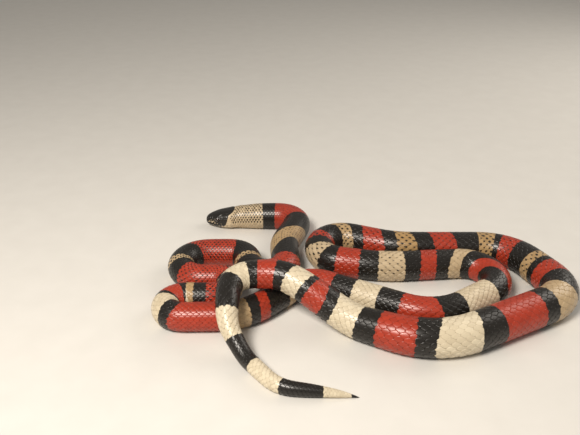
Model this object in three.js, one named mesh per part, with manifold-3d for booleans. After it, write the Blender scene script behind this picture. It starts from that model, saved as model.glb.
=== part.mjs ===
// A milk snake at rest in loose loops, at life size, in millimetres, +Z up.
// The belly lies on the ground at z = 0, except where the hind body and the start of the tail
// pass over two of the snake's own coils. The body is parted into short lengths with thin cuts,
// each square to the spine. The head is carved with its mouth, lips, nostrils and eye sockets.
import * as THREE from 'three';
import { mergeVertices } from 'three/addons/utils/BufferGeometryUtils.js';
import Module from 'manifold-3d';

const wasm = await Module();
wasm.setup();

// The way the snake lies, seen from above: the head starts at SNOUT, the body runs round each bend
// in turn on the shortest line from one to the next, and the tail ends at TAIL_TIP.
// A bend is the centre and radius of its round part; left and right are as seen on the way to the tail.
const SNOUT = { x: -61.5, y: 93.5 };
const TAIL_TIP = { x: 35.5, y: -91 };
const left = (x, y, radius) => ({ x, y, radius });
const right = (x, y, radius) => ({ x, y, radius: -radius });
const BENDS = [
  left(-36, 151, 59.5), // nape
  right(-8, 77.5, 13), // neck, round to the near side
  left(20, 46, 24), // throat, a slight bend the other way
  right(-14.5, 24.5, 12.2), // back under the crossing coil
  left(-39.5, 27, 12.4), // far arch
  left(-54.5, 23.8, 15.8), // far left turn
  right(-47.2, -1.7, 10.3), // hairpin
  left(-63.2, -22.2, 10.3), // near left turn
  left(-43, 5.5, 37.5), // under the crossing coil
  right(14, -12, 15.5), // out from under it
  left(83, 4, 32), // low row
  left(110, 6.2, 18.6), // right turn of the low row
  right(66, 106, 85), // middle row
  right(36, 42.5, 16.5), // left turn of the middle row
  left(84, 110, 64.5), // far row
  right(125, 13, 32), // far shoulder
  right(141, -3, 23), // right turn of the far row
  right(80, -5, 50), // front row, the widest part of the snake
  left(-17, -57, 42), // the crossing coil
  left(-22, -28, 13), // over the near coils
  left(-17, -44, 18), // down to the ground
  left(4, -68.5, 20), // tail
];
const CENTRE = { x: 46.54, y: 3.77 }; // middle of the space that the snake covers
const SETTLING = 18; // passes that round off the start and the end of each bend

// Half the body's width, at distances from the snout and from the tail's tip
const GIRTH = [
  [28, 8.7], [38, 9.4], [52, 9.7], [80, 9.8], [140, 9.6], [220, 9], [330, 8.8], [470, 9], [620, 9.9], [800, 10.3],
  [910, 11.4], [985, 11.3], [1030, 9.9], [1083, 8.9], [1118, 7.3], [1148, 5.2], [1178, 4.7], [1198, 4], [1215, 2.6],
  [1222, 1.6],
];
const TIP_RADIUS = 0.35;
const BELLY_DROP = 0.9; // spine to belly, as a share of half the width
const SIDES = 16; // faces round the body

// The crossing coil rises over the coils below and comes down again, by distance before the tail's tip
const LIFT = 18.2;
const RISE = { from: 200, to: 141 };
const FALL = { from: 106, to: 66 };

const CUT = 0.3; // gap between one length and the next
const LONGEST_STEP = 7; // between two rings of the body
const SHARPEST_STEP = THREE.MathUtils.degToRad(14);
const DEEPEST_BOW = 2.6; // how far one length may bow out of line
const NECK_LENGTH = 42;
const TAIL_LENGTH = 150;

// Head, measured back from the snout and up from the ground
const HEAD = { length: 28, rows: 24, sides: 32 };
const HEAD_WIDTH = [[0, 0.4], [0.5, 2.3], [1.6, 3.5], [4, 4.9], [8, 6.5], [12, 7.8], [17, 8.6], [21, 8.8], [28, 8.7]];
const HEAD_TOP = [[0, 5.2], [0.5, 6.9], [1.6, 8.1], [4, 9.6], [8, 11.2], [12, 12.4], [17, 13.6], [21, 14.6], [28, 16.53]];
const HEAD_BOTTOM = [[0, 4.6], [0.5, 3.2], [1.6, 2.2], [4, 1.1], [8, 0.25], [11, 0], [17, 0], [21, 0], [28, 0]];
const MOUTH = [[0, 3.9], [3, 3.7], [8, 4], [13, 3.9], [17, 4.2], [20, 5.3], [23, 6.6]];
const MOUTH_END = 20.5;
const MOUTH_GAP = 0.4;
const MOUTH_DEPTH = 0.9;
const LIP = { height: 1.1, swell: 0.36 };
const SQUARENESS = 2.5; // of the head's cross-section; 2 is an ellipse
const EYE = { back: 9.4, up: 7.7, radius: 1.95, proud: 0.62 };
const BROW = { rise: 2.3, reach: 2.1, swell: 0.42 };
const NOSTRIL = { back: 1.7, up: 6.1, radius: 0.55 };

const COLOURS = { black: 0x16130f, red: 0xa63a2c, pale: 0xd9cba8, eye: 0x0c0a09 };

function material(colour, roughness) {
  return new THREE.MeshStandardMaterial({ color: colour, roughness, metalness: 0 });
}

function ease(t) {
  const held = THREE.MathUtils.clamp(t, 0, 1);
  return held * held * (3 - 2 * held);
}

// Smooth curve through pairs of distance and size, with no overshoot
function along(stations) {
  return (distance) => {
    const last = stations.length - 1;
    if (distance <= stations[0][0]) return stations[0][1];
    if (distance >= stations[last][0]) return stations[last][1];
    const slope = (i) => (stations[i + 1][1] - stations[i][1]) / (stations[i + 1][0] - stations[i][0]);
    const tangent = (i) => {
      if (i === 0) return slope(0);
      if (i === last) return slope(last - 1);
      const [before, after] = [slope(i - 1), slope(i)];
      return before * after <= 0 ? 0 : (2 * before * after) / (before + after);
    };
    const i = stations.findIndex(([at]) => at > distance) - 1;
    const [[start, low], [end, high]] = [stations[i], stations[i + 1]];
    const run = end - start;
    const t = (distance - start) / run;
    return (1 + 2 * t) * (1 - t) ** 2 * low + t * (1 - t) ** 2 * run * tangent(i)
      + t * t * (3 - 2 * t) * high - t * t * (1 - t) * run * tangent(i + 1);
  };
}

// The line on the ground that the belly follows, as points about 1 mm apart
function groundLine() {
  const stops = [{ ...SNOUT, radius: 0 }, ...BENDS, { ...TAIL_TIP, radius: 0 }];
  const beside = (stop, heading) => new THREE.Vector2(
    stop.x + stop.radius * Math.sin(heading),
    stop.y - stop.radius * Math.cos(heading),
  );
  let points = [];
  let heading = null;
  for (let k = 0; k < stops.length - 1; k += 1) {
    const [here, next] = [stops[k], stops[k + 1]];
    const span = Math.hypot(next.x - here.x, next.y - here.y);
    const shift = next.radius - here.radius;
    const run = Math.sqrt(span * span - shift * shift);
    const ahead = Math.atan2(next.y - here.y, next.x - here.x) - Math.atan2(shift, run);
    if (heading !== null) {
      const side = Math.sign(here.radius);
      const full = 2 * Math.PI;
      const turn = side * THREE.MathUtils.euclideanModulo(side * (ahead - heading), full);
      const steps = Math.max(1, Math.round(Math.abs(turn * here.radius)));
      for (let i = 0; i < steps; i += 1) points.push(beside(here, heading + (turn * i) / steps));
    }
    const [start, end] = [beside(here, ahead), beside(next, ahead)];
    const steps = Math.max(1, Math.round(run));
    for (let i = 0; i < steps; i += 1) points.push(start.clone().lerp(end, i / steps));
    heading = ahead;
  }
  points.push(new THREE.Vector2(TAIL_TIP.x, TAIL_TIP.y));
  for (let pass = 0; pass < SETTLING; pass += 1) {
    points = points.map((point, i) => {
      if (i === 0 || i === points.length - 1) return point;
      return points[i - 1].clone().add(points[i + 1]).multiplyScalar(0.25).addScaledVector(point, 0.5);
    });
  }
  return points;
}

// The belly line in space, and a frame at any distance along it
function bellyLine() {
  const ground = groundLine();
  const walked = [0];
  for (let i = 1; i < ground.length; i += 1) walked.push(walked[i - 1] + ground[i].distanceTo(ground[i - 1]));
  const whole = walked[walked.length - 1];
  const points = ground.map((point, i) => {
    const before = whole - walked[i];
    const up = ease((RISE.from - before) / (RISE.from - RISE.to));
    const down = ease((before - FALL.to) / (FALL.from - FALL.to));
    return new THREE.Vector3(point.x - CENTRE.x, point.y - CENTRE.y, LIFT * up * down);
  });
  const marks = [0];
  for (let i = 1; i < points.length; i += 1) marks.push(marks[i - 1] + points[i].distanceTo(points[i - 1]));
  const length = marks[marks.length - 1];

  function pointAt(distance) {
    const held = THREE.MathUtils.clamp(distance, 0, length);
    const i = Math.min(marks.findLastIndex((mark) => mark <= held), points.length - 2);
    return points[i].clone().lerp(points[i + 1], (held - marks[i]) / (marks[i + 1] - marks[i]));
  }

  function frameAt(distance) {
    const reach = 0.8;
    const ahead = pointAt(distance + reach).sub(pointAt(distance - reach)).normalize();
    const side = new THREE.Vector3().crossVectors(ahead, new THREE.Vector3(0, 0, 1)).normalize();
    const up = new THREE.Vector3().crossVectors(side, ahead);
    return { belly: pointAt(distance), ahead, side, up };
  }
  return { length, frameAt };
}

const line = bellyLine();
const girth = along([...GIRTH, [line.length, TIP_RADIUS]]);

// A closed tube of rings. ringPoint gives the place of a point from its distance along and its angle round
function tube(distances, sides, ringPoint) {
  const rows = distances.length - 1;
  const shape = new THREE.CylinderGeometry(1, 1, 1, sides, rows);
  const places = shape.attributes.position;
  for (let i = 0; i < places.count; i += 1) {
    const row = Math.round((0.5 + places.getY(i)) * rows);
    const [across, upward] = [places.getX(i), places.getZ(i)];
    const onAxis = Math.hypot(across, upward) < 0.5;
    const point = ringPoint(distances[row], Math.atan2(upward, across), onAxis);
    places.setXYZ(i, point.x, point.y, point.z);
  }
  return joined(shape);
}

function joined(shape) {
  shape.deleteAttribute('normal');
  shape.deleteAttribute('uv');
  return mergeVertices(shape, 1e-4);
}

function bodyPoint(distance, angle, onAxis) {
  const { belly, side, up } = line.frameAt(distance);
  const radius = girth(distance);
  const across = onAxis ? 0 : radius * Math.cos(angle);
  const above = onAxis ? 0 : Math.max(radius * Math.sin(angle), -BELLY_DROP * radius);
  return belly.addScaledVector(side, across).addScaledVector(up, BELLY_DROP * radius + above);
}

function turnBetween(a, b) {
  return line.frameAt(a).ahead.angleTo(line.frameAt(b).ahead);
}

// Distances of the rings from one place to another, closer together round a bend
function ringsBetween(from, to) {
  const rings = [from];
  const finest = 0.5;
  for (let at = from + finest; at < to - finest; at += finest) {
    const last = rings[rings.length - 1];
    if (at - last + finest > LONGEST_STEP || turnBetween(last, at + finest) > SHARPEST_STEP) rings.push(at);
  }
  return [...rings, to];
}

// Places of the cuts, so that no length bows far out of line
function cutsBetween(from, to) {
  const cuts = [from];
  let turned = 0;
  for (let at = from; at < to - 1; at += 1) {
    turned += turnBetween(at, at + 1);
    const last = cuts[cuts.length - 1];
    if (((at - last) * turned) / 8 > DEEPEST_BOW && to - at > LONGEST_STEP) {
      cuts.push(at);
      turned = 0;
    }
  }
  return [...cuts, to];
}

function lengthOfBody(name, from, to, colour) {
  const mesh = new THREE.Mesh(tube(ringsBetween(from, to), SIDES, bodyPoint), material(colour, 0.45));
  mesh.name = name;
  return mesh;
}

function stretch(prefix, from, to, colour) {
  const cuts = cutsBetween(from, to);
  return cuts.slice(1).map((end, i) => {
    const name = `${prefix}_${String(i + 1).padStart(2, '0')}`;
    const stop = end === line.length ? end : end - CUT;
    return lengthOfBody(name, cuts[i], stop, colour);
  });
}

// The head is carved in its own frame: x back from the snout, y to the snake's right, z up from the ground
const headWidth = along(HEAD_WIDTH);
const headTop = along(HEAD_TOP);
const headBottom = along(HEAD_BOTTOM);
const mouthHeight = along(MOUTH);

// A round of the head at one distance back; inset shrinks it evenly for the core that the mouth stops at
function headPoint(back, angle, onAxis, inset = 0) {
  const middle = (headTop(back) + headBottom(back)) / 2;
  if (onAxis) return new THREE.Vector3(back, 0, middle);
  const half = { wide: headWidth(back) - inset, high: (headTop(back) - headBottom(back)) / 2 - inset };
  const fade = ease((HEAD.length - back) / 7);
  const squareness = 2 + (SQUARENESS - 2) * fade;
  const round = (value) => Math.sign(value) * Math.abs(value) ** (2 / squareness);
  const across = -half.wide * round(Math.cos(angle));
  const upright = Math.max(half.high * round(Math.sin(angle)), -half.high * (1 - 0.055 * (1 - fade)));
  const point = new THREE.Vector3(back, across, middle + upright);
  const lipFade = ease(back / 2) * ease((MOUTH_END + 2 - back) / 4);
  const lip = LIP.swell * lipFade * Math.exp(-(((point.z - mouthHeight(back)) / LIP.height) ** 2));
  const browAway = Math.hypot(back - EYE.back, point.z - EYE.up - BROW.rise);
  const brow = BROW.swell * Math.exp(-((browAway / BROW.reach) ** 2));
  point.y += Math.sign(across) * (lip + brow) * Math.min(1, Math.abs(across) / 2);
  return point;
}

function solid(shape) {
  return new wasm.Manifold(new wasm.Mesh({
    numProp: 3,
    vertProperties: new Float32Array(shape.attributes.position.array),
    triVerts: new Uint32Array(shape.index.array),
  }));
}

function ball(centre, radius, detail) {
  const shape = joined(new THREE.SphereGeometry(radius, detail, Math.round(detail / 2)));
  return shape.translate(centre.x, centre.y, centre.z);
}

// A thin sheet along the line of the mouth, stopped inside by a smaller head
function mouthSolid() {
  const steps = 16;
  const outline = new THREE.Shape();
  const at = (i) => -1 + ((MOUTH_END + 1) * i) / steps;
  const taper = (back) => (MOUTH_GAP / 2) * Math.max(0.15, ease((MOUTH_END - back) / 3));
  outline.moveTo(at(0), mouthHeight(at(0)) - taper(at(0)));
  for (let i = 1; i <= steps; i += 1) outline.lineTo(at(i), mouthHeight(at(i)) - taper(at(i)));
  for (let i = steps; i >= 0; i -= 1) outline.lineTo(at(i), mouthHeight(at(i)) + taper(at(i)));
  const wide = 24;
  const sheet = joined(new THREE.ExtrudeGeometry(outline, { depth: wide, bevelEnabled: false }));
  sheet.rotateX(Math.PI / 2).translate(0, wide / 2, 0);
  const rows = headRows(MOUTH_DEPTH, HEAD.length - 2, 14);
  const core = tube(rows, 24, (back, angle, onAxis) => headPoint(back, angle, onAxis, MOUTH_DEPTH));
  return solid(sheet).subtract(solid(core));
}

// Rows of the head, close together at the snout
function headRows(from, to, count) {
  return Array.from({ length: count + 1 }, (_, i) => from + (to - from) * (i / count) ** 1.5);
}

function eyeCentre(side) {
  const surface = headWidth(EYE.back);
  return new THREE.Vector3(EYE.back, side * (surface + EYE.proud - EYE.radius), EYE.up);
}

function headSolid() {
  let head = solid(tube(headRows(0, HEAD.length, HEAD.rows), HEAD.sides, headPoint));
  head = head.subtract(mouthSolid());
  for (const side of [-1, 1]) {
    head = head.subtract(solid(ball(eyeCentre(side), EYE.radius + CUT, 20)));
    const hole = new THREE.Vector3(NOSTRIL.back, side * headWidth(NOSTRIL.back), NOSTRIL.up);
    head = head.subtract(solid(ball(hole, NOSTRIL.radius, 10)));
  }
  return head;
}

// Sets a shape of the head's own frame on the snake's line
function onLine(shape) {
  const places = shape.attributes.position;
  for (let i = 0; i < places.count; i += 1) {
    const { belly, side, up } = line.frameAt(Math.max(places.getX(i), 0));
    const point = belly.addScaledVector(side, -places.getY(i)).addScaledVector(up, places.getZ(i));
    places.setXYZ(i, point.x, point.y, point.z);
  }
  return shape;
}

function headMesh() {
  const { vertProperties, triVerts } = headSolid().getMesh();
  const shape = new THREE.BufferGeometry();
  shape.setAttribute('position', new THREE.BufferAttribute(new Float32Array(vertProperties), 3));
  shape.setIndex(new THREE.BufferAttribute(new Uint32Array(triVerts), 1));
  const mesh = new THREE.Mesh(onLine(shape), material(COLOURS.black, 0.4));
  mesh.name = 'head';
  return mesh;
}

function eyeMesh(name, side) {
  const mesh = new THREE.Mesh(onLine(ball(eyeCentre(side), EYE.radius, 20)), material(COLOURS.eye, 0.08));
  mesh.name = name;
  return mesh;
}

const snake = new THREE.Group();
const neckStart = HEAD.length + CUT;
const neckEnd = neckStart + NECK_LENGTH;
const vent = line.length - TAIL_LENGTH;
snake.add(
  headMesh(),
  eyeMesh('eye_left', -1),
  eyeMesh('eye_right', 1),
  lengthOfBody('neck', neckStart, neckEnd - CUT, COLOURS.pale),
  ...stretch('body', neckEnd, vent, COLOURS.red),
  ...stretch('tail', vent, line.length, COLOURS.pale),
);

export default snake;
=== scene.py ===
import math

import bpy
import numpy as np
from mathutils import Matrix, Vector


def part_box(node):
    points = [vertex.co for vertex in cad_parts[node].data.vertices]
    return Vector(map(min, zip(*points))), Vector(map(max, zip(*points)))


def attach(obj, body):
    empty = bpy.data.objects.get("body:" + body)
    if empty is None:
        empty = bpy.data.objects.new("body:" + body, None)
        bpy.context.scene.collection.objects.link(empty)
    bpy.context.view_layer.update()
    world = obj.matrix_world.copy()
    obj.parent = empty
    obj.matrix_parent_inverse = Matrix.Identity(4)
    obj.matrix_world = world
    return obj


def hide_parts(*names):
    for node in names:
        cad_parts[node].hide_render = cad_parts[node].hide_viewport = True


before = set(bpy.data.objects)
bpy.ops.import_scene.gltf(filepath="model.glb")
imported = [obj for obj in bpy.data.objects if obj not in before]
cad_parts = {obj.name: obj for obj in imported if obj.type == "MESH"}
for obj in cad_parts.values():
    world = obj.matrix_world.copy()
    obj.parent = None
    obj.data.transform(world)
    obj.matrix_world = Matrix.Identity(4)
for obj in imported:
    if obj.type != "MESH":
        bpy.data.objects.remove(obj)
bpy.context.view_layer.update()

# Skin
# The whole animal under its scales: one closed skin, cast in pigmented resin from the snout to the tip
# of the tail, so that it shows no seam. The head's large plates, the lips, the line of the mouth and
# the nostrils are carved into it. All sizes here are in millimetres, as in the part.
MM = 0.001
# Places on the ground: both ends, and the middle of the coils, which stands at the frame's origin
SNOUT = (-61.5, 93.5)
TAIL_TIP = (35.5, -91)
CENTRE = (46.54, 3.77)
SETTLING_ROUNDS = 18


# A bend is a stretch of the belly's line that turns left or right round a middle on the ground.
def left(x, y, radius):
    return x, y, radius


def right(x, y, radius):
    return x, y, -radius


BENDS = [
    left(-36, 151, 59.5),
    right(-8, 77.5, 13),
    left(20, 46, 24),
    right(-14.5, 24.5, 12.2),
    left(-39.5, 27, 12.4),
    left(-54.5, 23.8, 15.8),
    right(-47.2, -1.7, 10.3),
    left(-63.2, -22.2, 10.3),
    left(-43, 5.5, 37.5),
    right(14, -12, 15.5),
    left(83, 4, 32),
    left(110, 6.2, 18.6),
    right(66, 106, 85),
    right(36, 42.5, 16.5),
    left(84, 110, 64.5),
    right(125, 13, 32),
    right(141, -3, 23),
    right(80, -5, 50),
    left(-17, -57, 42),
    left(-22, -28, 13),
    left(-17, -44, 18),
    left(4, -68.5, 20),
]
# The body's radius at distances from the snout
GIRTH = [
    (28, 8.7), (38, 9.4), (52, 9.7), (80, 9.8), (140, 9.6), (220, 9), (330, 8.8), (470, 9), (620, 9.9),
    (800, 10.3), (910, 11.4), (985, 11.3), (1030, 9.9), (1083, 8.9), (1118, 7.3), (1148, 5.2), (1178, 4.7),
    (1198, 4), (1215, 2.6), (1222, 1.6),
]
TIP_RADIUS = 0.35
BELLY_DROP = 0.9
# The front coil is lifted over the left loops: where that starts and ends, from the tip of the tail
LIFT = 18.2
RISE = (200, 141)
FALL = (106, 66)
SKIN_DEPTH = 0.4
HEAD_LENGTH = 28
# The head's half width, crown, throat and line of the mouth at distances back from the snout
HEAD_WIDTH = [
    (0, 0.4), (0.5, 2.3), (1.6, 3.5), (4, 4.9), (8, 6.5), (12, 7.8), (17, 8.6), (21, 8.8), (28, 8.7),
]
HEAD_TOP = [
    (0, 5.2), (0.5, 6.9), (1.6, 8.1), (4, 9.6), (8, 11.2), (12, 12.4), (17, 13.6), (21, 14.6), (28, 16.53),
]
HEAD_BOTTOM = [(0, 4.6), (0.5, 3.2), (1.6, 2.2), (4, 1.1), (8, 0.25), (11, 0), (17, 0), (21, 0), (28, 0)]
MOUTH = [(0, 3.9), (3, 3.7), (8, 4), (13, 3.9), (17, 4.2), (20, 5.3), (23, 6.6)]
HEAD_SQUARENESS = 2.5
SQUARE_FADE = 7
THROAT_FLAT = 0.055
NECK_START = 22
MOUTH_END = 20.5
LIP_HEIGHT = 1.1
LIP_SWELL = 0.36
LIP_START = 2
LIP_PAST_MOUTH = 2
LIP_FADE = 4
SWELL_START = 2
EYE_BACK = 9.4
EYE_UP = 7.7
EYE_RADIUS = 1.95
EYE_PROUD = 0.62
BROW_RISE = 2.3
BROW_REACH = 2.1
BROW_SWELL = 0.42
NOSTRIL_BACK = 1.7
NOSTRIL_UP = 6.1
NOSTRIL_RADIUS = 0.5


def ease(t):
    """Rises smoothly from 0 to 1 as t does."""
    held = np.clip(t, 0, 1)
    return held * held * (3 - 2 * held)


def along(stations):
    """Smooth curve through pairs of distance and size, with no overshoot."""
    at, size = np.array(stations, float).T
    run = np.diff(at)
    slope = np.diff(size) / run
    product = slope[:-1] * slope[1:]
    total = np.where(product > 0, slope[:-1] + slope[1:], 1)
    inner = np.where(product > 0, 2 * product / total, 0)
    tangent = np.concatenate([slope[:1], inner, slope[-1:]])

    def curve(distance):
        held = np.clip(distance, at[0], at[-1])
        i = np.clip(np.searchsorted(at, held, side="right") - 1, 0, len(run) - 1)
        t = (held - at[i]) / run[i]
        low = (1 + 2 * t) * (1 - t) ** 2 * size[i] + t * (1 - t) ** 2 * run[i] * tangent[i]
        return low + t * t * (3 - 2 * t) * size[i + 1] - t * t * (1 - t) * run[i] * tangent[i + 1]

    return curve


def unit(vectors):
    return vectors / np.linalg.norm(vectors, axis=-1, keepdims=True)


def ground_line():
    """The line on the ground that the belly follows, as points about 1 mm apart."""
    stops = [(*SNOUT, 0), *BENDS, (*TAIL_TIP, 0)]
    points = []
    heading = None

    def beside(stop, way):
        return np.array([stop[0] + stop[2] * math.sin(way), stop[1] - stop[2] * math.cos(way)])

    for here, after in zip(stops, stops[1:]):
        span = math.hypot(after[0] - here[0], after[1] - here[1])
        shift = after[2] - here[2]
        run = math.sqrt(span * span - shift * shift)
        ahead = math.atan2(after[1] - here[1], after[0] - here[0]) - math.atan2(shift, run)
        if heading is not None:
            side = math.copysign(1, here[2])
            turn = side * ((side * (ahead - heading)) % (2 * math.pi))
            steps = max(1, round(abs(turn * here[2])))
            points += [beside(here, heading + turn * i / steps) for i in range(steps)]
        start, end = beside(here, ahead), beside(after, ahead)
        steps = max(1, round(run))
        points += [start + (end - start) * i / steps for i in range(steps)]
        heading = ahead
    points.append(np.array(TAIL_TIP, float))
    line = np.array(points)
    for _ in range(SETTLING_ROUNDS):
        line[1:-1] = 0.25 * (line[:-2] + line[2:]) + 0.5 * line[1:-1]
    return line


def walked(points):
    """Distance from the first point to each of them, along the line."""
    return np.concatenate([[0], np.cumsum(np.linalg.norm(np.diff(points, axis=0), axis=1))])


ground = ground_line()
before_tip = walked(ground)[-1] - walked(ground)
risen = ease((RISE[0] - before_tip) / (RISE[0] - RISE[1]))
not_fallen = ease((before_tip - FALL[1]) / (FALL[0] - FALL[1]))
belly_line = np.column_stack([ground - CENTRE, LIFT * (risen * not_fallen)])
marks = walked(belly_line)
LENGTH = marks[-1]
girth = along([*GIRTH, (LENGTH, TIP_RADIUS)])
head_width = along(HEAD_WIDTH)
head_top = along(HEAD_TOP)
head_bottom = along(HEAD_BOTTOM)
mouth_height = along(MOUTH)


def on_line(distance, across, height):
    """Places in the frame, from the distance along, how far to the snake's left and how high."""
    def spot(at):
        return np.stack([np.interp(at, marks, belly_line[:, k]) for k in range(3)], -1)

    reach = 0.8
    held = np.clip(distance, 0, LENGTH)
    ahead = unit(spot(np.clip(held + reach, 0, LENGTH)) - spot(np.clip(held - reach, 0, LENGTH)))
    side = unit(np.cross(ahead, [0, 0, 1]))
    up = np.cross(side, ahead)
    beyond = (distance - held)[..., None] * ahead
    return spot(held) + beyond + across[..., None] * side + height[..., None] * up


def head_section(back, angle):
    """How far left and how high the head reaches: a squared oval, swollen at the lips and the brows."""
    low, high = head_bottom(back), head_top(back)
    squared = ease((HEAD_LENGTH - back) / SQUARE_FADE)
    power = 2 / (2 + (HEAD_SQUARENESS - 2) * squared)
    half = (high - low) / 2
    across = head_width(back) * np.sign(np.cos(angle)) * np.abs(np.cos(angle)) ** power
    upright = half * np.sign(np.sin(angle)) * np.abs(np.sin(angle)) ** power
    height = (high + low) / 2 + np.maximum(upright, -half * (1 - THROAT_FLAT * (1 - squared)))
    lip_share = ease(back / LIP_START) * ease((MOUTH_END + LIP_PAST_MOUTH - back) / LIP_FADE)
    lip = LIP_SWELL * lip_share * np.exp(-(((height - mouth_height(back)) / LIP_HEIGHT) ** 2))
    brow_away = np.hypot(back - EYE_BACK, height - EYE_UP - BROW_RISE)
    brow = BROW_SWELL * np.exp(-((brow_away / BROW_REACH) ** 2))
    across = across + np.sign(across) * (lip + brow) * np.minimum(1, np.abs(across) / SWELL_START)
    return across, height


def body_section(distance, angle):
    """How far left and how high the body reaches: a circle with a narrow flat under it."""
    radius = girth(distance)
    height = BELLY_DROP * radius + np.maximum(radius * np.sin(angle), -BELLY_DROP * radius)
    return radius * np.cos(angle), height


def section(distance, angle, lift):
    """How far left and how high the flesh reaches at that angle round, lifted off along its normal."""
    def outline(turned):
        blend = ease((distance - NECK_START) / (HEAD_LENGTH - NECK_START))
        head = head_section(np.clip(distance, 0, HEAD_LENGTH), turned)
        body = body_section(np.maximum(distance, HEAD_LENGTH), turned)
        return [a * (1 - blend) + b * blend for a, b in zip(head, body)]

    nudge = 0.02
    across, height = outline(angle)
    after, before = outline(angle + nudge), outline(angle - nudge)
    run, rise = after[0] - before[0], after[1] - before[1]
    size = np.hypot(run, rise) + 1e-9
    return across + lift * rise / size, height - lift * run / size


# Rings of colour: each starts and ends at a distance from the snout, and between them the snake is black.
# A lean is how much further on the start and the end lie on the snake's right than on its back, and as
# much less far on its left. Tan is 0 on a clean cream ring and browns a pale ring, partly with the
# snake's own tan and partly as painted shade. Tips is how much of each scale's end is black, partly the
# snake's own black-tipped scales and partly painted shade.
def red(start, end, lean=(0, 0), tips_and_shade=0.0):
    return "red", (start, end), lean, 0.0, tips_and_shade


def pale(start, end, lean=(0, 0), tan_and_shade=0.0, tips_and_shade=0.0):
    return "pale", (start, end), lean, tan_and_shade, tips_and_shade


RINGS = [
    pale(12, 41.5, lean=(0, -1), tan_and_shade=0.5, tips_and_shade=1), red(51, 72, tips_and_shade=0.5),
    pale(95, 111, lean=(-10, -8), tan_and_shade=0.85, tips_and_shade=0.55), red(128, 146, tips_and_shade=0.5),
    pale(162.5, 166.7, tan_and_shade=0.8, tips_and_shade=0.9), red(182.5, 211.4, lean=(-3.6, -5.1), tips_and_shade=0.85),
    pale(226.5, 231.2, tan_and_shade=0.7, tips_and_shade=0.9), red(239, 267, tips_and_shade=0.6),
    pale(272, 279, tan_and_shade=0.6, tips_and_shade=0.3), red(284, 291.5, tips_and_shade=0.8),
    pale(299, 303.5, tan_and_shade=0.9), red(307, 316, lean=(-2, 0)),
    pale(318.5, 327, lean=(0, -1.5), tan_and_shade=0.1), red(335, 359, lean=(3, 0)),
    pale(366, 374, tan_and_shade=0.8), red(381.5, 388, lean=(2.5, 3)),
    pale(400.5, 406, tan_and_shade=0.7), red(415, 440),
    pale(454, 470, tan_and_shade=0.1), red(484, 503, lean=(0, -3)),
    pale(519, 543, tan_and_shade=0.2), red(560, 572, lean=(10, 12)),
    # From here to the red ring ending at 873, on the coils that lie in shade, tan and tips are raised in
    # part as painted shade.
    pale(585.5, 595.5, lean=(8, 6), tan_and_shade=0.6, tips_and_shade=0.3), red(607.5, 617.5, lean=(2, 2), tips_and_shade=0.2),
    pale(629, 644.5, tan_and_shade=0.5, tips_and_shade=0.5), red(656, 670.3, tips_and_shade=0.3),
    # The red ring from 693 to 700 is made nearly black by its tips: painted shade, as it lies deep in
    # shade.
    pale(677, 684, lean=(1.5, 4.5), tan_and_shade=0.5, tips_and_shade=0.62), red(693, 700, tips_and_shade=0.8),
    pale(711.5, 721, lean=(-5, -7), tan_and_shade=0.85, tips_and_shade=0.7), red(730.5, 743.5, lean=(-4.5, -5), tips_and_shade=0.5),
    pale(753, 764, lean=(-3, -4), tan_and_shade=1, tips_and_shade=0.7), red(776, 791, lean=(-3, -3), tips_and_shade=0.5),
    pale(808, 819.5, tan_and_shade=0.95, tips_and_shade=0.75), red(824, 836, tips_and_shade=0.5),
    pale(850, 857, tan_and_shade=0.9, tips_and_shade=0.7), red(861.5, 873, tips_and_shade=0.4),
    pale(888, 902.5, tan_and_shade=0.7), red(912, 941.5),
    pale(955, 977, lean=(3.5, 4)), red(990, 1010.3),
    pale(1024.3, 1044.5, lean=(0, -2.5)), red(1052.3, 1060, lean=(-3, 1)),
    pale(1063.6, 1073, lean=(1.5, 2)), red(1080.2, 1090.5),
    pale(1097.3, 1109), pale(1127.5, 1143), pale(1166, 1187.3), pale(1209.2, 1223.5),
]
OUTSIDE_RINGS = -9.0
RING_MARGIN = 3
LOWEST_TIPS = -0.3
TIPS_FADE = 0.35
# How far back the collar and the small scales start, at heights from -1 on the throat to 1 on the crown
COLLAR_FRONT = along([
    (-1, 12), (-0.53, 13), (-0.26, 15.4), (0.3, 17.2), (0.63, 17.8), (0.86, 20.2), (1, 21.4),
])
COAT_FRONT = [(-0.6, 19.6), (-0.3, 20.4), (-0.05, 19.4), (0.12, 18), (0.3, 17.4), (0.6, 18), (1, 19.8)]


def markings(distance, angle):
    """How deep each point is inside a red and a pale ring, in millimetres, with its tan and its tips, both
    partly painted shade.
    """
    depth = {"red": np.full(distance.shape, OUTSIDE_RINGS), "pale": np.full(distance.shape, OUTSIDE_RINGS)}
    tan_and_shade = np.zeros(distance.shape)
    tips_and_shade = np.zeros(distance.shape)
    back_share = ease((np.sin(angle) - LOWEST_TIPS) / TIPS_FADE)
    rightward = -np.cos(angle)
    for kind, (start, end), (start_lean, end_lean), ring_tan_and_shade, ring_tips_and_shade in RINGS:
        after_start = distance - start - start_lean * rightward
        inside = np.minimum(after_start, end + end_lean * rightward - distance)
        depth[kind] = np.maximum(depth[kind], inside)
        near = inside > -RING_MARGIN
        tan_and_shade = np.where(near, ring_tan_and_shade, tan_and_shade)
        tips_and_shade = np.where(near, ring_tips_and_shade * back_share, tips_and_shade)
    behind_head = distance - COLLAR_FRONT(np.sin(angle))
    return {"red": depth["red"], "pale": np.minimum(depth["pale"], behind_head), "tan_and_shade": tan_and_shade, "tips_and_shade": tips_and_shade}


def coat_start(angle):
    """Where the small scales begin behind the head's plates and the corner of the mouth."""
    return np.interp(np.sin(angle), *zip(*COAT_FRONT))


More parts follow.
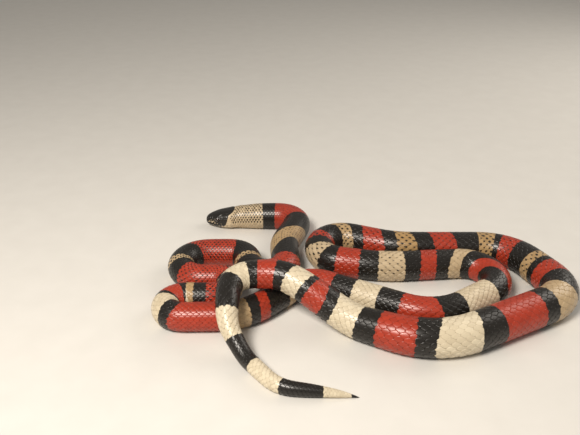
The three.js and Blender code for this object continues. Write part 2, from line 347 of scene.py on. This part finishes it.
# Pale flecks on the dark lips and cheeks: how far back from the snout, how high, and half their length
FLECKS = [
    (2.3, 4.8, 0.3), (3.3, 5.5, 0.5), (4.5, 6.6, 0.36), (5.2, 5.3, 0.68), (6.4, 6.1, 0.42), (7.1, 7.9, 0.3),
    (7.4, 5, 0.5), (9.3, 4.9, 0.36), (12.2, 5.2, 0.3), (6.3, 3.2, 0.3), (10.6, 2.9, 0.55), (13, 3, 0.75),
]


def plate(*middles, kind="dark"):
    return kind, middles


def lip_plate(back, height):
    return plate((back, AT_SIDE, height), kind="lip")


def chin_plate(*middles):
    return plate(*middles, kind="chin")


# Head plates, each by the middles of its parts: back from the snout, out from the middle, and up. Those
# off the middle are there on both sides, and the lips' lie further out than the head is wide.
AT_SIDE = 9
PLATES = [
    plate((0.1, 0, 5.8)),
    plate((2.1, 1.0, 8.5)),
    plate((4.6, 1.7, 10.0)),
    plate((7.8, 0, 11.2), (10.2, 0, 11.9)),
    plate((7.9, 4.2, 10.4), (10.2, 4.8, 11.2)),
    plate((13.4, 2.4, 12.8), (15.6, 3.1, 13.2), (17.4, 2.3, 13.7)),
    plate((1.1, 3.0, 6.3)),
    plate((2.9, 4.1, 6.9)),
    plate((4.9, 5.0, 7.3)),
    plate((6.8, 5.8, 8.4)),
    plate((12.0, 7.0, 9.8)),
    plate((12.0, 7.6, 8.0)),
    plate((14.4, 7.1, 10.4), (15.2, 7.4, 10.3)),
    plate((14.6, 8.1, 8.2), (15.4, 8.1, 8.2)),
    plate((17.9, 7.0, 11.3)),
    plate((18.2, 8.2, 9.3)),
    lip_plate(1.5, 5.1), lip_plate(3.5, 5.1), lip_plate(5.7, 5.4), lip_plate(8.0, 5.5),
    lip_plate(10.4, 5.5), lip_plate(13.1, 5.4), lip_plate(16.0, 5.5), lip_plate(18.8, 6.4),
    chin_plate((0.3, 0, 3.0)),
    lip_plate(1.4, 2.7), lip_plate(3.2, 2.5), lip_plate(5.2, 2.6), lip_plate(7.4, 2.7),
    lip_plate(9.9, 2.7), lip_plate(12.6, 2.6), lip_plate(15.4, 2.7), lip_plate(18.4, 3.4),
    lip_plate(20.3, 1.8), lip_plate(20.6, 3.7), lip_plate(20.9, 5.6), lip_plate(20.6, 7.6),
    chin_plate((3.8, 1.5, 0.9), (4.6, 1.5, 0.9)),
    chin_plate((6.9, 1.7, 0.4), (8.2, 1.8, 0.3)),
    chin_plate((10.6, 0.8, 0)), chin_plate((10.4, 2.9, 0)),
    chin_plate((12.6, 1.9, 0)), chin_plate((12.8, 4.2, 0)),
    chin_plate((14.8, 0.9, 0)), chin_plate((15, 3.0, 0)), chin_plate((15.2, 5.2, 0)),
    chin_plate((17.2, 2.0, 0)), chin_plate((17.3, 4.2, 0)), chin_plate((17.6, 6.2, 0)),
    chin_plate((19.4, 0.9, 0)), chin_plate((19.4, 3.0, 0)), chin_plate((19.6, 5.2, 0)),
    chin_plate((21.6, 2.0, 0)), chin_plate((21.8, 4.2, 0)), chin_plate((22, 6.2, 0)),
]
INSIDE_HEAD = 0.97


def plate_borders(places):
    """For each point of the head, its plate's kind and how far it is from that plate's border."""
    middles, owners, kinds = [], [], []
    for kind, parts in PLATES:
        sides = [1] if all(out == 0 for _, out, _ in parts) else [1, -1]
        for side in sides:
            for back, out, up in parts:
                held = min(out, float(head_width(back)) * INSIDE_HEAD)
                middles.append((back, side * held, up))
                owners.append(len(kinds))
            kinds.append(kind)
    middles, owners = np.array(middles, float), np.array(owners)
    away = np.linalg.norm(places[:, None, :] - middles[None], axis=2)
    first = np.argmin(away, axis=1)
    rows = np.arange(len(places))
    others = np.where(owners[None] == owners[first][:, None], np.inf, away)
    second = np.argmin(others, axis=1)
    apart = np.linalg.norm(middles[first] - middles[second], axis=1)
    border = (others[rows, second] ** 2 - away[rows, first] ** 2) / (2 * apart)
    return np.array(kinds)[owners[first]], border


def deselect():
    for thing in bpy.context.selected_objects:
        thing.select_set(False)


def coordinates(mesh):
    places = np.empty(len(mesh.vertices) * 3)
    mesh.vertices.foreach_get("co", places)
    return places.reshape(-1, 3)


def flat_grid(columns, rows):
    """A new flat grid from -1 to 1 both ways, with the places of its corners."""
    deselect()
    bpy.ops.mesh.primitive_grid_add(x_subdivisions=columns, y_subdivisions=rows, size=2)
    piece = bpy.context.object
    return piece, coordinates(piece.data)


def skin_grid(name, rows, sides):
    """A flat grid ready to be rolled up: its corners with their row and their side."""
    piece, places = flat_grid(rows, sides)
    piece.name = name
    row = np.rint((places[:, 0] + 1) / 2 * rows).astype(int)
    side = np.rint((places[:, 1] + 1) / 2 * sides).astype(int)
    return piece, row, side


def move_to(mesh, places):
    mesh.vertices.foreach_set("co", np.asarray(places, np.float32).ravel())
    mesh.update()


def mark(mesh, **numbers):
    """Keeps one number a corner under each name, for the finish to read."""
    for name, values in numbers.items():
        layer = mesh.attributes.new(name, "FLOAT", "POINT")
        layer.data.foreach_set("value", np.asarray(values, np.float32).ravel())


# How deep, how wide and how soft at its edge each thing is that is carved in the head
GROOVE_DEPTH = 0.17
GROOVE_WIDTH = 0.15
PLATES_END = 23.5
PLATES_FADE = 1.5
MOUTH_DEPTH = 0.7
MOUTH_WIDTH = 0.22
MOUTH_FADE = 2
NOSTRIL_DEPTH = 0.6
NOSTRIL_RIM = 1.25
NOSTRIL_SLOPE = 0.5
SOCKET_DEPTH = 1.3
SOCKET_GAP = 0.06
SOCKET_SLOPE = 0.22
LID_SWELL = 0.2
LID_WIDTH = 0.24
HEAD_PROUD = 0.02
COAT_FADE = 1.6
# The head's markings: a strip along the middle has no flecks and no nostrils
MIDDLE_HALF = 1
ALL_BLACK = -2.0
CHIN_RIM = 0.5
COLLAR_RIM = 0.06
FLECK_FLATNESS = 1.3
HEAD_MARKS_END = 26
HEAD_TAN = 0.45


def carve_head(back, angle):
    """Places of the head's skin and its markings, with plates, lips, sockets and nostrils carved."""
    across, height = head_section(back, angle)
    places = np.stack([back, across, height], -1)
    down_row = np.gradient(places, axis=0)
    round_row = np.gradient(places, axis=1)
    round_row[:, 0] = round_row[:, -1] = (places[:, 1] - places[:, -2]) / 2
    normal = np.cross(round_row, down_row)
    normal[0] = [-1, 0, 0]
    normal = unit(normal + [1e-9, 0, 0])
    kinds, border = plate_borders(places.reshape(-1, 3))
    kinds, border = kinds.reshape(back.shape), border.reshape(back.shape)
    plated = ease((PLATES_END - back) / PLATES_FADE)
    groove = GROOVE_DEPTH * np.exp(-((border / GROOVE_WIDTH) ** 2)) * plated
    at_mouth = np.exp(-(((height - mouth_height(back)) / MOUTH_WIDTH) ** 2))
    open_mouth = ease((MOUTH_END - back) / MOUTH_FADE) * at_mouth * MOUTH_DEPTH
    beside = np.abs(across) > MIDDLE_HALF
    nostril_off = np.hypot(back - NOSTRIL_BACK, height - NOSTRIL_UP) / NOSTRIL_RADIUS
    nostril = NOSTRIL_DEPTH * ease((NOSTRIL_RIM - nostril_off) / NOSTRIL_SLOPE) * beside
    eye_off = np.hypot(back - EYE_BACK, height - EYE_UP)
    rim = math.sqrt(EYE_RADIUS ** 2 - (EYE_RADIUS - EYE_PROUD) ** 2) + SOCKET_GAP
    socket = SOCKET_DEPTH * ease((rim - eye_off) / SOCKET_SLOPE)
    lid = LID_SWELL * np.exp(-(((eye_off - rim - LID_WIDTH) / LID_WIDTH) ** 2))
    lift = HEAD_PROUD - groove - open_mouth - nostril - socket + lid
    carved = places + normal * lift[..., None]
    under_coat = np.stack([back, *section(back, angle, -SKIN_DEPTH)], -1)
    coated = ease((back - coat_start(angle)) / COAT_FADE)[..., None]
    shaped = carved * (1 - coated) + under_coat * coated
    fleck = np.where(kinds == "chin", border - CHIN_RIM, ALL_BLACK)
    for fleck_back, fleck_up, reach in FLECKS:
        off = np.hypot(back - fleck_back, FLECK_FLATNESS * (height - fleck_up))
        fleck = np.maximum(fleck, np.where(beside, reach - off, ALL_BLACK))
    marked = markings(back, angle)
    collar = np.minimum(marked["pale"], np.where(kinds == "dark", marked["pale"], border - COLLAR_RIM))
    marked["pale"] = np.where(back > HEAD_MARKS_END, marked["pale"], np.maximum(fleck, collar))
    marked["tan_and_shade"] = np.full(back.shape, HEAD_TAN)
    marked["tips_and_shade"] = np.zeros(back.shape)
    return on_line(shaped[..., 0], shaped[..., 1], shaped[..., 2]), marked


HEAD_ROWS = 190
HEAD_SIDES = 256
SNOUT_CROWDING = 1.8
skin, row, side = skin_grid("skin", HEAD_ROWS, HEAD_SIDES)
snout_end = row == 0
round_angle = 2 * math.pi * np.arange(HEAD_SIDES + 1) / HEAD_SIDES - math.pi / 2
backs = HEAD_LENGTH * (np.arange(HEAD_ROWS + 1) / HEAD_ROWS) ** SNOUT_CROWDING
placed, marked = carve_head(*np.meshgrid(backs, round_angle, indexing="ij"))
move_to(skin.data, placed[row, side] * MM)
mark(skin.data, **{name: values[row, side] for name, values in marked.items()})

BODY_STEP = 2.2
BODY_SIDES = 64
NECK_JOIN = 0.3
DEPTH_AT_TIP = 0.3
MERGE_DISTANCE = 0.004
steps = round((LENGTH - HEAD_LENGTH) / BODY_STEP)
body_skin, row, side = skin_grid("body_skin", steps, BODY_SIDES)
tail_end = row == steps
distance = HEAD_LENGTH + NECK_JOIN + (LENGTH - HEAD_LENGTH - NECK_JOIN) * row / steps
angle = 2 * math.pi * side / BODY_SIDES - math.pi / 2
depth = np.minimum(SKIN_DEPTH, DEPTH_AT_TIP * girth(distance))
move_to(body_skin.data, on_line(distance, *section(distance, angle, -depth)) * MM)
mark(body_skin.data, **markings(distance, angle))


def close_end(piece, chosen):
    """Joins the rolled grid along its length, and draws the chosen last round together in one point."""
    deselect()
    piece.select_set(True)
    bpy.context.view_layer.objects.active = piece
    bpy.ops.object.mode_set(mode="EDIT")
    bpy.ops.mesh.select_mode(type="VERT")
    bpy.ops.mesh.select_all(action="DESELECT")
    bpy.ops.object.mode_set(mode="OBJECT")
    piece.data.vertices.foreach_set("select", chosen)
    bpy.ops.object.mode_set(mode="EDIT")
    bpy.ops.mesh.merge(type="CENTER")
    bpy.ops.mesh.select_all(action="SELECT")
    bpy.ops.mesh.remove_doubles(threshold=MERGE_DISTANCE * MM)
    bpy.ops.object.mode_set(mode="OBJECT")


close_end(skin, snout_end)
close_end(body_skin, tail_end)
skin.select_set(True)
bpy.context.view_layer.objects.active = skin
bpy.ops.object.join()
bpy.ops.object.mode_set(mode="EDIT")
bpy.ops.mesh.select_all(action="DESELECT")
bpy.ops.mesh.select_non_manifold()
bpy.ops.mesh.bridge_edge_loops()
bpy.ops.mesh.select_all(action="SELECT")
bpy.ops.mesh.normals_make_consistent(inside=False)
bpy.ops.object.mode_set(mode="OBJECT")
bpy.ops.object.shade_smooth()


class Value:
    """A socket of numbers, so that sums on it add Math nodes."""

    def __init__(self, finish, socket):
        self.finish = finish
        self.socket = socket

    def _math(self, operation, first, second):
        return self.finish.node("Math", {"operation": operation}, {0: first, 1: second})

    def __add__(self, other):
        return self._math("ADD", self, other)

    def __radd__(self, other):
        return self._math("ADD", other, self)

    def __sub__(self, other):
        return self._math("SUBTRACT", self, other)

    def __rsub__(self, other):
        return self._math("SUBTRACT", other, self)

    def __mul__(self, other):
        return self._math("MULTIPLY", self, other)

    def __rmul__(self, other):
        return self._math("MULTIPLY", other, self)

    def __truediv__(self, other):
        return self._math("DIVIDE", self, other)

    def held(self):
        """Kept between 0 and 1."""
        return self.finish.node("Clamp", {}, {"Value": self})


class Finish:
    """A material that is built up node by node."""

    def __init__(self, name):
        self.material = bpy.data.materials.new(name)
        self.material.use_nodes = True
        self.tree = self.material.node_tree
        self.tree.nodes.clear()

    def node(self, kind, settings, inputs, output=0):
        made = self.tree.nodes.new("ShaderNode" + kind)
        for key, value in settings.items():
            setattr(made, key, value)
        for key, value in inputs.items():
            if isinstance(value, Value):
                self.tree.links.new(value.socket, made.inputs[key])
            else:
                made.inputs[key].default_value = value
        return Value(self, made.outputs[output]) if made.outputs else None

    def number(self, name):
        return self.node("Attribute", {"attribute_name": name}, {}, "Fac")

    def mixed(self, share, first, second, how="MIX"):
        settings = {"data_type": "RGBA", "blend_type": how}
        return self.node("Mix", settings, {0: share, 6: first, 7: second}, 2)

    def noise(self, scale, detail):
        coordinates = self.node("TexCoord", {}, {}, "Object")
        return self.node("TexNoise", {}, {"Vector": coordinates, "Scale": scale, "Detail": detail})

    def surface(self, **sockets):
        inputs = {name.replace("_", " "): value for name, value in sockets.items()}
        shader = self.node("BsdfPrincipled", {}, inputs)
        self.node("OutputMaterial", {}, {"Surface": shader})


BLACK = (0.013, 0.011, 0.009, 1)
RED = (0.42, 0.042, 0.018, 1)
CREAM = (0.75, 0.66, 0.49, 1)
TAN_AND_SHADE = (0.44, 0.28, 0.12, 1)
SHADED = (0.62, 0.58, 0.52, 1)
# The edges of the rings wobble with a soft mottle, and a finer one shades and roughens the gloss
MOTTLE_SCALE = 900
EDGE_WOBBLE = 0.8
EDGE_SHARPNESS = 4
FINE_SCALE = 2600
FINE_SHADE = 0.4
FINE_BUMP = 0.25
FINE_HEIGHT = 0.0001
GLOSS_ROUGHNESS = 0.24
FINE_ROUGHNESS = 0.14
# A black spot on a scale's end: where along the scale, how tight that way and across, and how large
SPOT_MIDDLE = 0.92
SPOT_TIGHT_ALONG = 2.4
SPOT_TIGHT_ACROSS = 1.9
SPOT_SIZE = 0.68
SPOT_SIZE_BY_SCALE = 0.4
SPOT_SIZE_BY_MOTTLE = 0.9
SPOT_SHARPNESS = 6
SPOT_STRENGTH = 0.96
# Each scale has its own shade, and a darker rim at its free end
RIM_START = 0.86
RIM_SHARPNESS = 8
RIM_SHADE = 0.35
SCALE_SHADE = 0.45


def snake_finish(name, scaled):
    """Glossy skin with its rings; on scales, each end may be black and each scale has its own shade."""
    finish = Finish(name)
    mottle = finish.noise(MOTTLE_SCALE, detail=3) - 0.5

    def inside(ring):
        return ((finish.number(ring) + mottle * EDGE_WOBBLE) * EDGE_SHARPNESS + 0.5).held()

    # Pale rings are mixed towards tan: partly the snake's own tan, partly painted shade on coils that lie
    # in shade.
    pale_colour_and_shade = finish.mixed(finish.number("tan_and_shade"), CREAM, TAN_AND_SHADE)
    colour = finish.mixed(inside("red"), BLACK, RED)
    colour = finish.mixed(inside("pale"), colour, pale_colour_and_shade)
    if scaled:
        grow = finish.number("grow")
        shade = finish.number("shade")
        behind = (grow - SPOT_MIDDLE) * SPOT_TIGHT_ALONG
        beside = finish.number("beside") * SPOT_TIGHT_ACROSS
        # The black spots on the scales' ends are partly the snake's own black tips, partly painted shade on
        # rings that lie in shade.
        full_size = SPOT_SIZE + shade * SPOT_SIZE_BY_SCALE + mottle * SPOT_SIZE_BY_MOTTLE
        size = finish.number("tips_and_shade") * full_size
        spot = (size * size - behind * behind - beside * beside) * SPOT_SHARPNESS
        colour = finish.mixed(spot.held() * SPOT_STRENGTH, colour, BLACK)
        rim = ((grow - RIM_START) * RIM_SHARPNESS).held()
        colour = finish.mixed(shade * SCALE_SHADE + rim * RIM_SHADE, colour, SHADED, how="MULTIPLY")
    fine = finish.noise(FINE_SCALE, detail=4)
    colour = finish.mixed((fine * FINE_SHADE).held(), colour, SHADED, how="MULTIPLY")
    pores = {"Strength": FINE_BUMP, "Distance": FINE_HEIGHT, "Height": fine}
    bump = finish.node("Bump", {}, pores, "Normal")
    finish.surface(Base_Color=colour, Roughness=GLOSS_ROUGHNESS + fine * FINE_ROUGHNESS, Normal=bump)
    return finish.material


skin.data.materials.append(snake_finish("snake_skin", scaled=False))
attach(skin, "root")
flesh = [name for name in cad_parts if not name.startswith("eye")]
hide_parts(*flesh)

# Scales of the back and sides
# Smooth, glossy scales in slanting rows lap each other like roof tiles, each a thin moulded plate set
# with its root in the skin and its free end towards the tail. They shrink with the body, and each
# stretch of it, from one distance from the snout to another, has its own number of rows round it.
SCALE_ROWS = [
    (17, 400, 23), (400, 985, 21), (985, 1075, 19), (1075, 1120, 17), (1120, 1153, 14), (1153, 1185, 11),
    (1185, 1209, 8), (1209, LENGTH - 1.5, 6),
]
SCALE_PITCH = along([
    (18, 1.6), (40, 2.2), (120, 2.5), (260, 2.7), (440, 4.1), (640, 4.6), (950, 4.7), (1075, 4.2),
    (1150, 3), (1200, 2.2), (LENGTH, 1.2),
])
COAT_SPAN = math.radians(262)
SCALE_LAP = 1.3
SCALE_SPREAD = 0.92
SCALE_THICK = 0.09
SCALE_OUTLINE = along([
    (0, 0.4), (0.2, 0.76), (0.38, 0.97), (0.46, 1), (0.58, 0.93), (0.78, 0.62), (0.93, 0.3), (1, 0.1),
])
SCALE_RISE = 0.21
SCALE_CROWN = 0.08
SCALE_TIP_DIP = 0.07
SCALE_SUNK = 0.04
SCALE_TIP_CROWDING = 1.4
SCALE_ACROSS = 6
SCALE_ALONG = 5


def thickened(piece, thickness):
    """Gives the laid plate its thickness, and hands over its corners and faces to be copied."""
    thick = piece.modifiers.new("thick", "SOLIDIFY")
    thick.thickness = thickness
    thick.offset = -1
    bpy.ops.object.modifier_apply(modifier="thick")
    shape = coordinates(piece.data)
    faces = np.array([tuple(face.vertices) for face in piece.data.polygons])
    bpy.data.objects.remove(piece)
    return shape, faces


def model_scale():
    """One scale, laid flat: across, along from root to end, and how high, with its faces."""
    piece, places = flat_grid(SCALE_ACROSS, SCALE_ALONG)
    across = places[:, 0].copy()
    grow = 1 - (0.5 - places[:, 1] / 2) ** SCALE_TIP_CROWDING
    crown = SCALE_CROWN * (1 - across ** 2)
    places[:, 0] = across * SCALE_OUTLINE(grow)
    places[:, 1] = grow
    places[:, 2] = SCALE_RISE * grow + crown - SCALE_TIP_DIP * grow ** 6 - SCALE_SUNK
    move_to(piece.data, places)
    shape, faces = thickened(piece, SCALE_THICK)
    shape[:, 0] = np.clip(shape[:, 0], -1, 1)
    shape[:, 1] = np.clip(shape[:, 1], 0, 1)
    return shape, faces


def coat_roots():
    """Where each scale is rooted: distance, angle, length along and half its width round."""
    roots = []
    for start, end, rows in SCALE_ROWS:
        spacing = COAT_SPAN / rows
        at = start
        while at < end:
            pitch = float(SCALE_PITCH(at))
            for i in range(rows):
                angle = math.pi / 2 + (i - (rows - 1) / 2) * spacing
                root = at + pitch * 0.5 * (i % 2)
                if root > coat_start(angle):
                    roots.append((root, angle, pitch * SCALE_LAP, spacing * SCALE_SPREAD))
            at += pitch
    return np.array(roots)


# Scales lie flatter where the body is thinner than the full girth. Each reads its colours a little nearer
# to its middle than they lie, so that the edge of a ring keeps a little to the edges of the scales.
FULL_GIRTH = 6
SCALE_MIDDLE = 0.6
COLOUR_REACH = 0.8
UV_LENGTH = LENGTH + 5
UV_TURN = 2.2 * math.pi
UV_PATCH = 0.003
PIECE_LIMIT = 190_000
random = np.random.default_rng(7)


def copies(name, shape, faces, roots):
    """One mesh of many laid scales, each bent to the body under it and marked for the finish."""
    distance = roots[:, None, 0] + shape[None, :, 1] * roots[:, None, 2]
    angle = roots[:, None, 1] + shape[None, :, 0] * roots[:, None, 3]
    full = np.minimum(1, girth(roots[:, 0]) / FULL_GIRTH)
    height = shape[None, :, 2] * full[:, None] - SKIN_DEPTH
    places = on_line(distance, *section(distance, angle, height))
    many, corners = len(roots), len(shape)
    all_faces = (faces[None] + (np.arange(many) * corners)[:, None, None]).reshape(-1, 4)
    mesh = bpy.data.meshes.new(name)
    mesh.from_pydata((places.reshape(-1, 3) * MM).tolist(), [], all_faces.tolist())
    middle_at = (roots[:, 0] + SCALE_MIDDLE * roots[:, 2])[:, None]
    middle_angle = roots[:, None, 1]
    marked = markings(middle_at + COLOUR_REACH * (distance - middle_at),
                      middle_angle + COLOUR_REACH * (angle - middle_angle))
    shade = np.repeat(random.random(many)[:, None], corners, 1)
    beside, grow = (np.broadcast_to(shape[:, k], distance.shape) for k in (0, 1))
    mark(mesh, **marked, shade=shade, grow=grow, beside=beside)
    layer = mesh.uv_layers.new(name="OFBake")
    unwrapped = np.stack([
        roots[:, None, 0] / UV_LENGTH + UV_PATCH * (shape[None, :, 1] - 0.5),
        (roots[:, None, 1] + math.pi) / UV_TURN + UV_PATCH * shape[None, :, 0] / 2,
    ], -1).reshape(-1, 2)
    layer.data.foreach_set("uv", unwrapped[all_faces.ravel()].astype(np.float32).ravel())
    mesh.shade_smooth()
    piece = bpy.data.objects.new(name, mesh)
    bpy.context.scene.collection.objects.link(piece)
    return piece


coat_finish = snake_finish("snake_scales", scaled=True)


def lay_coat(prefix, shape, faces, roots):
    """Lays the scales as a few pieces, each small enough to be kept whole."""
    per_piece = PIECE_LIMIT // (2 * len(faces))
    for i in range(0, len(roots), per_piece):
        piece = copies(f"{prefix}_{i // per_piece + 1}", shape, faces, roots[i:i + per_piece])
        piece.data.materials.append(coat_finish)
        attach(piece, "root")


lay_coat("back_scales", *model_scale(), coat_roots())

# Belly plates
# Under the body one broad plate follows another, lapping towards the tail, and from the vent on they
# stand in pairs. They are moulded with the skin and carry the same rings.
BELLY_START = 24
BELLY_END = LENGTH - 4
VENT = LENGTH - 150
BELLY_HALF_SPAN = math.radians(50)
PAIR_SPREAD = 1.02
BELLY_RISE = 0.36
BELLY_THICK = 0.12
BELLY_CORNER = 0.18
BELLY_ACROSS = 12
BELLY_ALONG = 3


def model_belly_plate():
    """One belly plate, laid flat like a scale, with its corners drawn back."""
    piece, places = flat_grid(BELLY_ACROSS, BELLY_ALONG)
    across = places[:, 0].copy()
    grow = (places[:, 1] + 1) / 2
    places[:, 1] = grow * (1 - BELLY_CORNER * across ** 4)
    places[:, 2] = BELLY_RISE * grow - SCALE_SUNK
    move_to(piece.data, places)
    return thickened(piece, BELLY_THICK)


def belly_roots():
    """Where each belly plate is rooted, in the same terms as a scale of the back."""
    roots = []
    at = BELLY_START
    below = -math.pi / 2
    half = BELLY_HALF_SPAN / 2
    while at < BELLY_END:
        pitch = float(SCALE_PITCH(at))
        if at < VENT:
            roots.append((at, below, pitch * SCALE_LAP, BELLY_HALF_SPAN))
        else:
            roots.append((at, below + half, pitch * SCALE_LAP, half * PAIR_SPREAD))
            roots.append((at + pitch / 2, below - half, pitch * SCALE_LAP, half * PAIR_SPREAD))
        at += pitch
    return np.array(roots)


lay_coat("belly_plates", *model_belly_plate(), belly_roots())

# Eyes
# Each eye is a polished glass ball set in its socket, with a round black pupil and a narrow, dark
# brown iris under a clear dome.
PUPIL_HALF_ANGLE = 27
PUPIL_FADE = 3
IRIS_HALF_ANGLE = 46
IRIS_FADE = 5
IRIS_WOBBLE = 3
IRIS_LEAST = 0.5
IRIS_RANGE = 0.8
PUPIL_BLACK = (0.005, 0.004, 0.003, 1)
IRIS_BROWN = (0.05, 0.018, 0.008, 1)
GLASS_ROUGHNESS = 0.04
GLASS_WEAR = 0.03


def eye_finish():
    """Polished glass, coloured by how many degrees each place is away from the pupil's middle."""
    finish = Finish("snake_eye")
    fine = finish.noise(3000, detail=3)
    away = finish.number("away") + (fine - 0.5) * IRIS_WOBBLE
    iris = ((away - PUPIL_HALF_ANGLE) / PUPIL_FADE).held() * ((IRIS_HALF_ANGLE - away) / IRIS_FADE).held()
    colour = finish.mixed(iris * (IRIS_LEAST + fine * IRIS_RANGE), PUPIL_BLACK, IRIS_BROWN)
    finish.surface(Base_Color=colour, Roughness=GLASS_ROUGHNESS + fine * GLASS_WEAR, Coat_Weight=1.0)
    return finish.material


glass = eye_finish()
spine = on_line(np.array([EYE_BACK]), np.array([0.0]), np.array([EYE_UP]))[0] * MM
for name in ("eye_left", "eye_right"):
    low, high = (np.array(corner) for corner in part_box(name))
    middle = (low + high) / 2
    deselect()
    bpy.ops.mesh.primitive_uv_sphere_add(
        segments=48, ring_count=32, radius=EYE_RADIUS * MM, location=middle)
    bpy.ops.object.transform_apply(location=True, rotation=False, scale=False)
    bpy.ops.object.shade_smooth()
    ball = bpy.context.object
    ball.name = name + "_glass"
    facing = unit(coordinates(ball.data) - middle) @ unit(middle - spine)
    mark(ball.data, away=np.degrees(np.arccos(np.clip(facing, -1, 1))))
    ball.data.materials.append(glass)
    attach(ball, "root")
    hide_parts(name)

# Floor
# A plain, pale, matt floor, faintly flecked. It is wide enough to run past the picture's edges, and is
# a stage for the snake, no part of it.
FLOOR_SIZE = 6
FLOOR_MIDDLE = (0, 1, 0)
FLOOR_DARKER = (0.66, 0.64, 0.60, 1)
FLOOR_LIGHTER = (0.72, 0.70, 0.66, 1)
FLOOR_ROUGHNESS = 0.85
FLOOR_WEAR = 0.1
deselect()
bpy.ops.mesh.primitive_plane_add(size=FLOOR_SIZE, location=FLOOR_MIDDLE)
floor = bpy.context.object
floor.name = "floor"
floor_finish = Finish("floor")
speck = floor_finish.noise(60, detail=4)
floor_colour = floor_finish.mixed(speck, FLOOR_DARKER, FLOOR_LIGHTER)
floor_finish.surface(Base_Color=floor_colour, Roughness=FLOOR_ROUGHNESS + speck * FLOOR_WEAR)
floor.data.materials.append(floor_finish.material)

# Light
# A large soft light high on the near left, a weaker one far on the right, and an even, slightly warm
# room. Colours are shown as they are, with no film look laid over them.
ROOM_COLOUR = (1, 0.95, 0.88, 1)
ROOM_STRENGTH = 0.3
LAMP_COLOUR = (1, 0.93, 0.84)
world = bpy.data.worlds.new("room")
world.use_nodes = True
background = world.node_tree.nodes["Background"]
background.inputs["Color"].default_value = ROOM_COLOUR
background.inputs["Strength"].default_value = ROOM_STRENGTH
bpy.context.scene.world = world
bpy.context.scene.view_settings.view_transform = "Standard"


def soft_light(name, place, size, watts):
    """A square light at that place, turned to the middle of the floor."""
    lamp = bpy.data.lights.new(name, "AREA")
    lamp.size = size
    lamp.energy = watts
    lamp.color = LAMP_COLOUR
    holder = bpy.data.objects.new(name, lamp)
    holder.location = place
    facing = math.atan2(math.hypot(place[0], place[1]), place[2])
    holder.rotation_euler = (facing, 0, math.atan2(place[0], -place[1]))
    bpy.context.scene.collection.objects.link(holder)


soft_light("key", place=(-0.3, -0.42, 0.6), size=0.22, watts=6.5)
soft_light("fill", place=(0.6, 0.35, 0.5), size=0.5, watts=2.5)

# Camera
# The camera stands in front of the coils and looks down at them, as in the photograph. Its place is in
# metres, and its lens is given by the picture's width.
CAMERA_HEIGHT = 0.248
CAMERA_AWAY = 0.362
LOOKING_DOWN = math.radians(28)
FOCAL_PIXELS = 700
PICTURE_WIDTH = 580
SENSOR_WIDTH = 36
NEAREST_SEEN = 0.01
view = bpy.data.cameras.new("camera")
view.sensor_width = SENSOR_WIDTH
view.lens = SENSOR_WIDTH * FOCAL_PIXELS / PICTURE_WIDTH
view.clip_start = NEAREST_SEEN
camera = bpy.data.objects.new("camera", view)
camera.location = (-CENTRE[0] * MM, -CAMERA_AWAY - CENTRE[1] * MM, CAMERA_HEIGHT)
camera.rotation_euler = (math.pi / 2 - LOOKING_DOWN, 0, 0)
bpy.context.scene.collection.objects.link(camera)
bpy.context.scene.camera = camera
